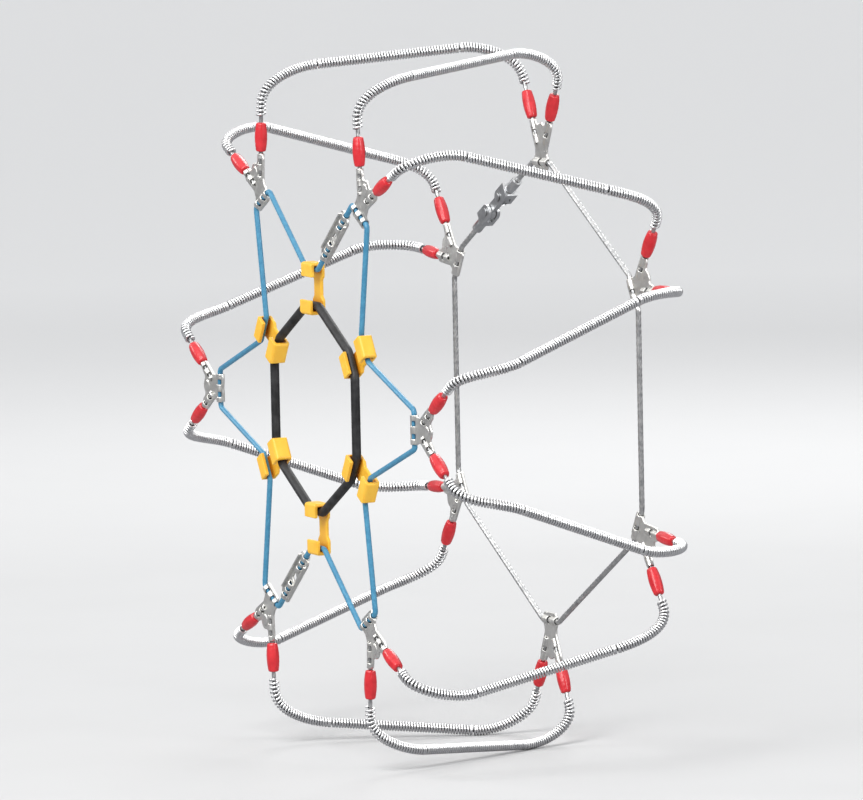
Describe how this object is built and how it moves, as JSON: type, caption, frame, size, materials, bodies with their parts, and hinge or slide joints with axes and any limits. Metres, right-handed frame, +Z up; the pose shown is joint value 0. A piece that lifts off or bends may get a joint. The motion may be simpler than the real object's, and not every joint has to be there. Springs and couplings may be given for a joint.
{
  "type": "tire snow chains",
  "caption": "Cable snow chain in its mounted shape: zig-zag coil-wrapped cross cables, pressed plates, side cables and a hooked rubber tensioner ring.",
  "frame": {"origin": "centre of the wheel that the chain fits, midway between its two sides", "axes": "Y is the wheel's axis: -Y faces outwards, to the side with the rubber tensioner, and +Y faces the vehicle. +Z is up, through an outer hook and an inner plate; +X is through an outer plate"},
  "size_m": [0.6402, 0.2497, 0.6442],
  "materials": {
    "galvanised_plate": "bright galvanised pressed sheet with spangle",
    "wire_rope": "stranded galvanised wire rope",
    "coil_steel": "bright drawn wire wound in a close coil",
    "red_sleeve": "glossy shrunk sleeve",
    "blue_cord": "coated braided cord, slight sheen",
    "yellow_plastic": "moulded, satin",
    "black_rubber": "matt with slight bloom",
    "closure_steel": "zinc plated"
  },
  "bodies": {
    "harness": {"catch_fork": "closure_steel", "catch_pin": "closure_steel", "cross_cable_1": "wire_rope", "cross_cable_10": "wire_rope", "cross_cable_11": "wire_rope", "cross_cable_12": "wire_rope", "cross_cable_2": "wire_rope", "cross_cable_3": "wire_rope", "cross_cable_4": "wire_rope", "cross_cable_5": "wire_rope", "cross_cable_6": "wire_rope", "cross_cable_7": "wire_rope", "cross_cable_8": "wire_rope", "cross_cable_9": "wire_rope", "hook_fork": "closure_steel", "hook_pin": "closure_steel", "inner_plate_1": "galvanised_plate", "inner_plate_2": "galvanised_plate", "inner_plate_3": "galvanised_plate", "inner_plate_4": "galvanised_plate", "inner_plate_5": "galvanised_plate", "inner_plate_6": "galvanised_plate", "inner_shoulder_coils": "coil_steel", "inner_side_cable": "wire_rope", "inner_sleeves": "red_sleeve", "joining_bar_1": "galvanised_plate", "joining_bar_2": "galvanised_plate", "outer_plate_1": "galvanised_plate", "outer_plate_2": "galvanised_plate", "outer_plate_3": "galvanised_plate", "outer_plate_4": "galvanised_plate", "outer_plate_5": "galvanised_plate", "outer_plate_6": "galvanised_plate", "outer_shoulder_coils": "coil_steel", "outer_sleeves": "red_sleeve", "side_cord_1": "blue_cord", "side_cord_2": "blue_cord", "tensioner_ring": "black_rubber"},
    "closing_hook": {"closing_hook": "closure_steel"},
    "hook_1": {"hook_1": "yellow_plastic"},
    "hook_2": {"hook_2": "yellow_plastic"},
    "hook_3": {"hook_3": "yellow_plastic"},
    "hook_4": {"hook_4": "yellow_plastic"},
    "hook_5": {"hook_5": "yellow_plastic"},
    "hook_6": {"hook_6": "yellow_plastic"},
    "tread_coil_1": {"tread_coil_1": "coil_steel"},
    "tread_coil_10": {"tread_coil_10": "coil_steel"},
    "tread_coil_11": {"tread_coil_11": "coil_steel"},
    "tread_coil_12": {"tread_coil_12": "coil_steel"},
    "tread_coil_2": {"tread_coil_2": "coil_steel"},
    "tread_coil_3": {"tread_coil_3": "coil_steel"},
    "tread_coil_4": {"tread_coil_4": "coil_steel"},
    "tread_coil_5": {"tread_coil_5": "coil_steel"},
    "tread_coil_6": {"tread_coil_6": "coil_steel"},
    "tread_coil_7": {"tread_coil_7": "coil_steel"},
    "tread_coil_8": {"tread_coil_8": "coil_steel"},
    "tread_coil_9": {"tread_coil_9": "coil_steel"}
  },
  "joints": [
    {"name": "tread_coil_1_spin", "type": "hinge", "parent": "harness", "child": "tread_coil_1", "pos_m": [0.30846, 0, 0.08816], "axis": [-0.0986, 0.9334, 0.3451], "continuous": true},
    {"name": "tread_coil_2_spin", "type": "hinge", "parent": "harness", "child": "tread_coil_2", "pos_m": [0.23058, 0, 0.22306], "axis": [0.2495, 0.9334, -0.258], "continuous": true},
    {"name": "tread_coil_3_spin", "type": "hinge", "parent": "harness", "child": "tread_coil_3", "pos_m": [0.07788, 0, 0.31122], "axis": [-0.3482, 0.9334, 0.0871], "continuous": true},
    {"name": "tread_coil_4_spin", "type": "hinge", "parent": "harness", "child": "tread_coil_4", "pos_m": [-0.07788, 0, 0.31122], "axis": [0.3482, 0.9334, 0.0871], "continuous": true},
    {"name": "tread_coil_5_spin", "type": "hinge", "parent": "harness", "child": "tread_coil_5", "pos_m": [-0.23058, 0, 0.22306], "axis": [-0.2495, 0.9334, -0.258], "continuous": true},
    {"name": "tread_coil_6_spin", "type": "hinge", "parent": "harness", "child": "tread_coil_6", "pos_m": [-0.30846, 0, 0.08816], "axis": [0.0986, 0.9334, 0.3451], "continuous": true},
    {"name": "tread_coil_7_spin", "type": "hinge", "parent": "harness", "child": "tread_coil_7", "pos_m": [-0.30846, 0, -0.08816], "axis": [0.0986, 0.9334, -0.3451], "continuous": true},
    {"name": "tread_coil_8_spin", "type": "hinge", "parent": "harness", "child": "tread_coil_8", "pos_m": [-0.23058, 0, -0.22306], "axis": [-0.2495, 0.9334, 0.258], "continuous": true},
    {"name": "tread_coil_9_spin", "type": "hinge", "parent": "harness", "child": "tread_coil_9", "pos_m": [-0.07788, 0, -0.31122], "axis": [0.3482, 0.9334, -0.0871], "continuous": true},
    {"name": "tread_coil_10_spin", "type": "hinge", "parent": "harness", "child": "tread_coil_10", "pos_m": [0.07788, 0, -0.31122], "axis": [-0.3482, 0.9334, -0.0871], "continuous": true},
    {"name": "tread_coil_11_spin", "type": "hinge", "parent": "harness", "child": "tread_coil_11", "pos_m": [0.23058, 0, -0.22306], "axis": [0.2495, 0.9334, 0.258], "continuous": true},
    {"name": "tread_coil_12_spin", "type": "hinge", "parent": "harness", "child": "tread_coil_12", "pos_m": [0.30846, 0, -0.08816], "axis": [-0.0986, 0.9334, -0.3451], "continuous": true},
    {"name": "hook_1_pull", "type": "slide", "parent": "harness", "child": "hook_1", "axis": [0.866, 0, 0.5], "range_m": [0, 0.01], "stiffness_N_per_m": 900, "deforming": ["tensioner_ring"]},
    {"name": "hook_2_pull", "type": "slide", "parent": "harness", "child": "hook_2", "axis": [0, 0, 1], "range_m": [0, 0.01], "stiffness_N_per_m": 900, "deforming": ["tensioner_ring"]},
    {"name": "hook_3_pull", "type": "slide", "parent": "harness", "child": "hook_3", "axis": [-0.866, 0, 0.5], "range_m": [0, 0.01], "stiffness_N_per_m": 900, "deforming": ["tensioner_ring"]},
    {"name": "hook_4_pull", "type": "slide", "parent": "harness", "child": "hook_4", "axis": [-0.866, 0, -0.5], "range_m": [0, 0.01], "stiffness_N_per_m": 900, "deforming": ["tensioner_ring"]},
    {"name": "hook_5_pull", "type": "slide", "parent": "harness", "child": "hook_5", "axis": [0, 0, -1], "range_m": [0, 0.01], "stiffness_N_per_m": 900, "deforming": ["tensioner_ring"]},
    {"name": "hook_6_pull", "type": "slide", "parent": "harness", "child": "hook_6", "axis": [0.866, 0, -0.5], "range_m": [0, 0.01], "stiffness_N_per_m": 900, "deforming": ["tensioner_ring"]},
    {"name": "closing_hook_swing", "type": "hinge", "parent": "harness", "child": "closing_hook", "pos_m": [-0.11003, 0.117, 0.15858], "axis": [0, -1, 0], "range_deg": [0, 80]}
  ]
}
